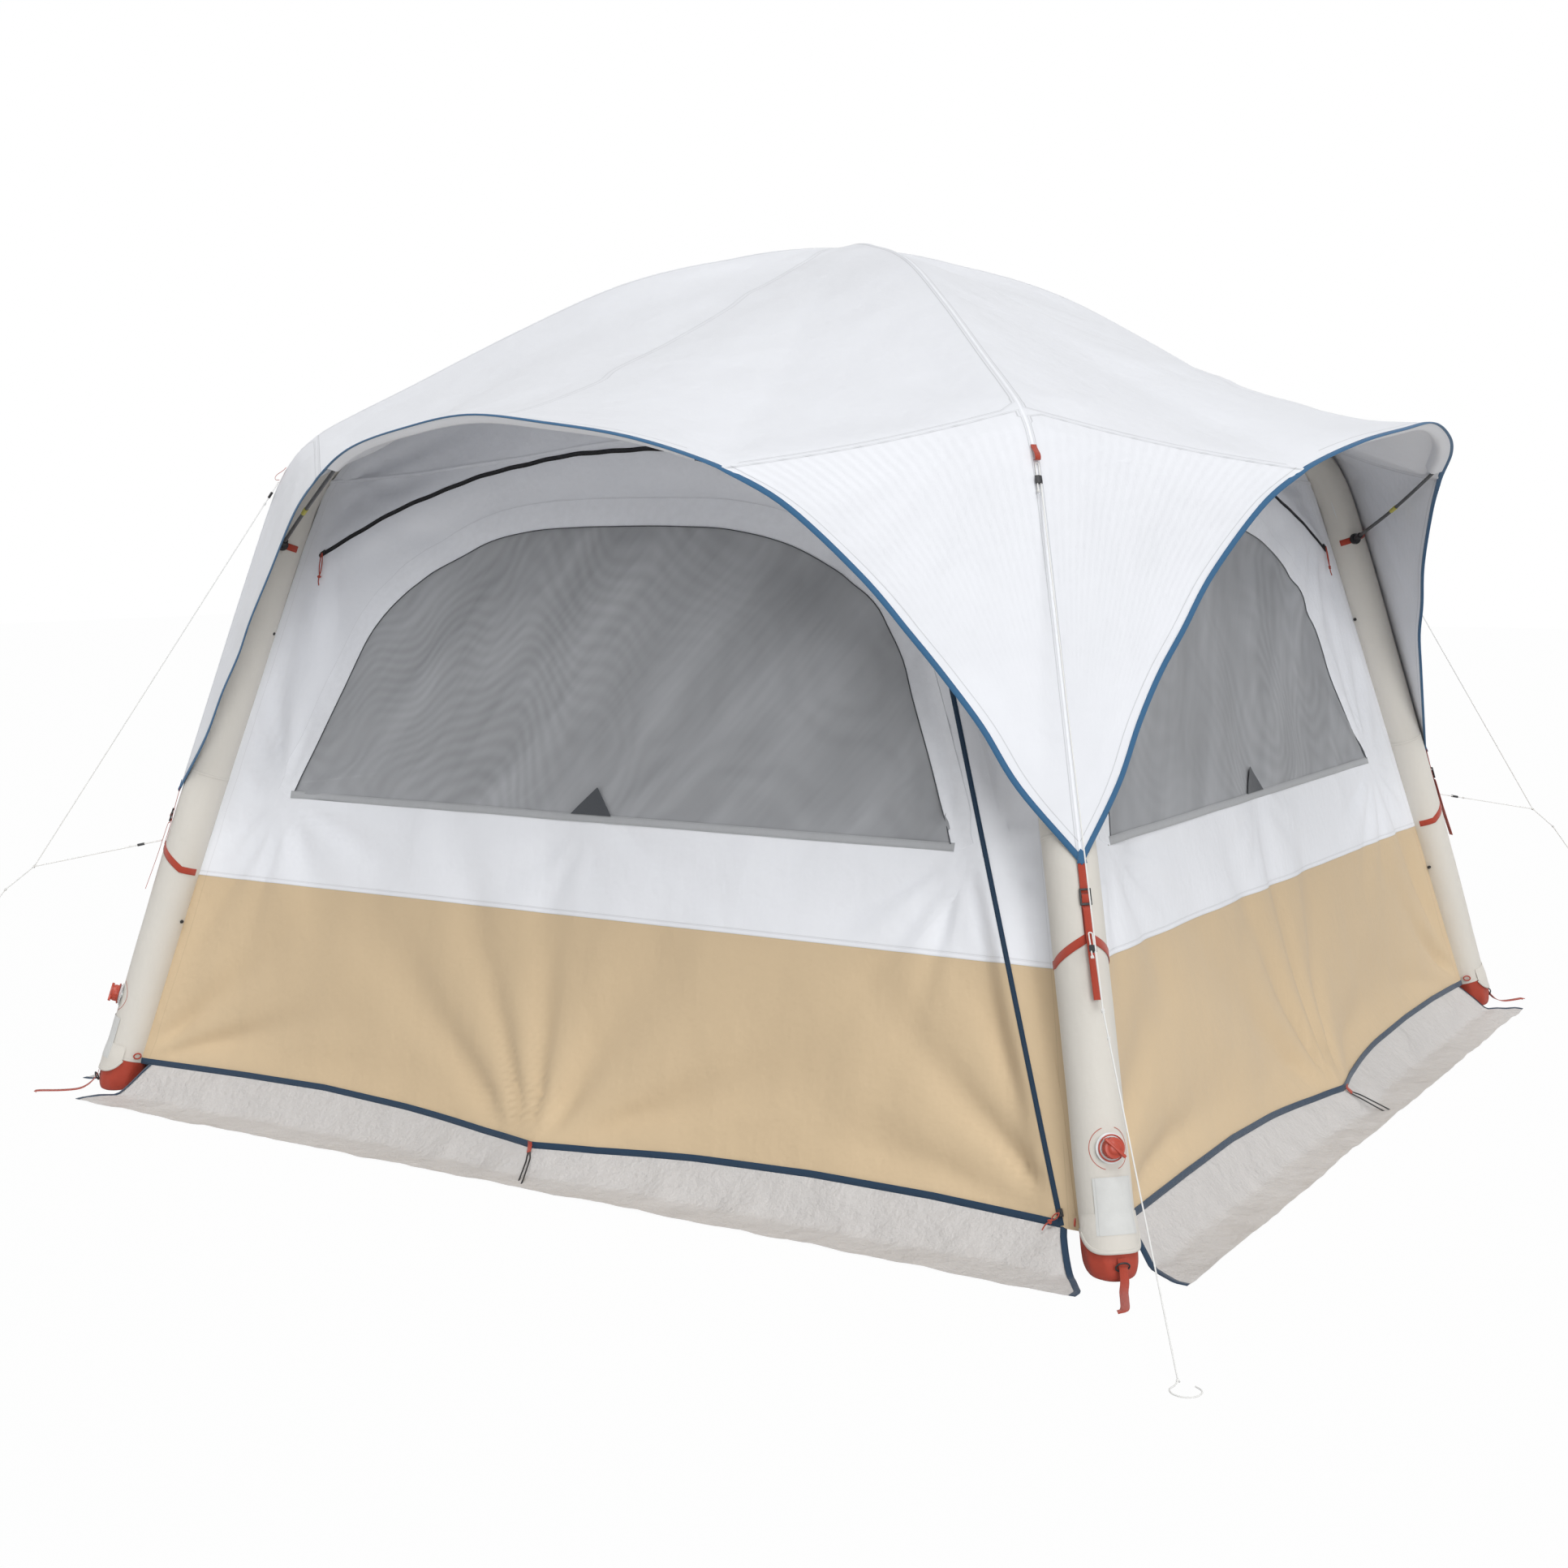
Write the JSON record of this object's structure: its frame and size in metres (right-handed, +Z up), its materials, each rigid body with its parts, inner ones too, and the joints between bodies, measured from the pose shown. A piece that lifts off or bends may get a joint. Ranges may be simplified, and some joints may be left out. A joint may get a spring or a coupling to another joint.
{
  "type": "inflatable tent",
  "caption": "Square family tent on crossed air tubes with a domed fly, visors, mesh windows, zipped door corner, valves and guy lines.",
  "frame": {"origin": "middle of the ground plan, at the height of the feet", "axes": "+Z up, -Y out of the door wall, +X out of the right-hand wall"},
  "size_m": [4.015, 4.0154, 2.2854],
  "materials": {
    "bladder_film": "smooth film",
    "sleeve_cloth": "plain weave",
    "fly_cloth": "coated plain weave",
    "wall_cloth": "coated plain weave",
    "window_mesh": "fine mesh",
    "skirt_sheet": "crinkled woven sheet",
    "zip_tape": "zip tape",
    "red_webbing": "webbing",
    "guy_cord": "braided cord",
    "red_plastic": "moulded",
    "black_plastic": "moulded",
    "clear_plastic": "moulded"
  },
  "bodies": {
    "tent": {"bladder_front_back": "bladder_film", "sleeve_front_back": "sleeve_cloth", "bladder_left_right": "bladder_film", "sleeve_left_right": "sleeve_cloth", "foot_cup_front": "red_plastic", "fly_front": "fly_cloth", "visor_pole_front": "black_plastic", "wall_front": "wall_cloth", "window_mesh_front": "window_mesh", "skirt_front": "skirt_sheet", "arch_zip_front": "zip_tape", "tip_strap_front": "red_webbing", "guy_line_front": "guy_cord", "foot_cup_right": "red_plastic", "fly_right": "fly_cloth", "visor_pole_right": "black_plastic", "wall_right": "wall_cloth", "window_mesh_right": "window_mesh", "skirt_right": "skirt_sheet", "arch_zip_right": "zip_tape", "tip_strap_right": "red_webbing", "guy_line_right": "guy_cord", "foot_cup_back": "red_plastic", "fly_back": "fly_cloth", "visor_pole_back": "black_plastic", "wall_back": "wall_cloth", "window_mesh_back": "window_mesh", "skirt_back": "skirt_sheet", "arch_zip_back": "zip_tape", "tip_strap_back": "red_webbing", "guy_line_back": "guy_cord", "foot_cup_left": "red_plastic", "fly_left": "fly_cloth", "visor_pole_left": "black_plastic", "wall_left": "wall_cloth", "window_mesh_left": "window_mesh", "skirt_left": "skirt_sheet", "arch_zip_left": "zip_tape", "tip_strap_left": "red_webbing", "guy_line_left": "guy_cord", "valve_body_front": "clear_plastic", "valve_body_left": "clear_plastic"},
    "door_corner": {"door_corner": "wall_cloth"},
    "door_zip_slider": {"door_zip_slider": "red_plastic"},
    "arch_zip_slider_front": {"arch_zip_slider_front": "red_plastic"},
    "arch_zip_slider_right": {"arch_zip_slider_right": "red_plastic"},
    "arch_zip_slider_back": {"arch_zip_slider_back": "red_plastic"},
    "arch_zip_slider_left": {"arch_zip_slider_left": "red_plastic"},
    "valve_cap_front": {"valve_cap_front": "red_plastic"},
    "valve_stem_front": {"valve_stem_front": "red_plastic"},
    "valve_cap_left": {"valve_cap_left": "red_plastic"},
    "valve_stem_left": {"valve_stem_left": "red_plastic"},
    "guy_slider_upper_front": {"guy_slider_upper_front": "black_plastic"},
    "guy_slider_lower_front": {"guy_slider_lower_front": "black_plastic"},
    "guy_slider_upper_right": {"guy_slider_upper_right": "black_plastic"},
    "guy_slider_lower_right": {"guy_slider_lower_right": "black_plastic"},
    "guy_slider_upper_back": {"guy_slider_upper_back": "black_plastic"},
    "guy_slider_lower_back": {"guy_slider_lower_back": "black_plastic"},
    "guy_slider_upper_left": {"guy_slider_upper_left": "black_plastic"},
    "guy_slider_lower_left": {"guy_slider_lower_left": "black_plastic"}
  },
  "joints": [
    {"name": "door_corner_fold", "type": "hinge", "parent": "tent", "child": "door_corner", "pos_m": [0.52, -1.43387, 0.07022], "axis": [-0.5833, -0.2029, -0.7865], "range_deg": [0, 150]},
    {"name": "door_zip_run", "type": "slide", "parent": "tent", "child": "door_zip_slider", "axis": [-0.3378, 0.2352, 0.9114], "range_m": [0, 1.35]},
    {"name": "arch_zip_run_front", "type": "hinge", "parent": "tent", "child": "arch_zip_slider_front", "pos_m": [0, -1.51367, -0.24265], "axis": [0, 0.9683, -0.2499], "range_deg": [0, 50]},
    {"name": "arch_zip_run_right", "type": "hinge", "parent": "tent", "child": "arch_zip_slider_right", "pos_m": [1.51367, 0, -0.24265], "axis": [0.9683, 0, 0.2499], "range_deg": [0, 56]},
    {"name": "arch_zip_run_back", "type": "hinge", "parent": "tent", "child": "arch_zip_slider_back", "pos_m": [0, 1.51367, -0.24265], "axis": [0, -0.9683, -0.2499], "range_deg": [0, 56]},
    {"name": "arch_zip_run_left", "type": "hinge", "parent": "tent", "child": "arch_zip_slider_left", "pos_m": [-1.51367, 0, -0.24265], "axis": [-0.9683, 0, 0.2499], "range_deg": [0, 56]},
    {"name": "valve_cap_turn_front", "type": "hinge", "parent": "tent", "child": "valve_cap_front", "pos_m": [1.39687, -1.39687, 0.24], "axis": [0.6749, -0.6749, 0.2982], "range_deg": [0, 170]},
    {"name": "valve_stem_press_front", "type": "slide", "parent": "tent", "child": "valve_stem_front", "axis": [-0.6749, 0.6749, -0.2982], "range_m": [0, 0.004], "stiffness_N_per_m": 400},
    {"name": "valve_cap_turn_left", "type": "hinge", "parent": "tent", "child": "valve_cap_left", "pos_m": [-1.39687, -1.39687, 0.24], "axis": [-0.6749, -0.6749, 0.2982], "range_deg": [0, 170]},
    {"name": "valve_stem_press_left", "type": "slide", "parent": "tent", "child": "valve_stem_left", "axis": [0.6749, 0.6749, -0.2982], "range_m": [0, 0.004], "stiffness_N_per_m": 400},
    {"name": "guy_tension_upper_front", "type": "slide", "parent": "tent", "child": "guy_slider_upper_front", "axis": [-0.2923, 0.3629, 0.8848], "range_m": [-0.006, 0.01]},
    {"name": "guy_tension_lower_front", "type": "slide", "parent": "tent", "child": "guy_slider_lower_front", "axis": [-0.4483, 0.7809, 0.435], "range_m": [-0.006, 0.03]},
    {"name": "guy_tension_upper_right", "type": "slide", "parent": "tent", "child": "guy_slider_upper_right", "axis": [-0.388, -0.388, 0.836], "range_m": [-0.006, 0.01]},
    {"name": "guy_tension_lower_right", "type": "slide", "parent": "tent", "child": "guy_slider_lower_right", "axis": [-0.6963, -0.6963, 0.1741], "range_m": [-0.006, 0.03]},
    {"name": "guy_tension_upper_back", "type": "slide", "parent": "tent", "child": "guy_slider_upper_back", "axis": [0.388, -0.388, 0.836], "range_m": [-0.006, 0.01]},
    {"name": "guy_tension_lower_back", "type": "slide", "parent": "tent", "child": "guy_slider_lower_back", "axis": [0.6963, -0.6963, 0.1741], "range_m": [-0.006, 0.03]},
    {"name": "guy_tension_upper_left", "type": "slide", "parent": "tent", "child": "guy_slider_upper_left", "axis": [0.388, 0.388, 0.836], "range_m": [-0.006, 0.01]},
    {"name": "guy_tension_lower_left", "type": "slide", "parent": "tent", "child": "guy_slider_lower_left", "axis": [0.6963, 0.6963, 0.1741], "range_m": [-0.006, 0.03]}
  ]
}
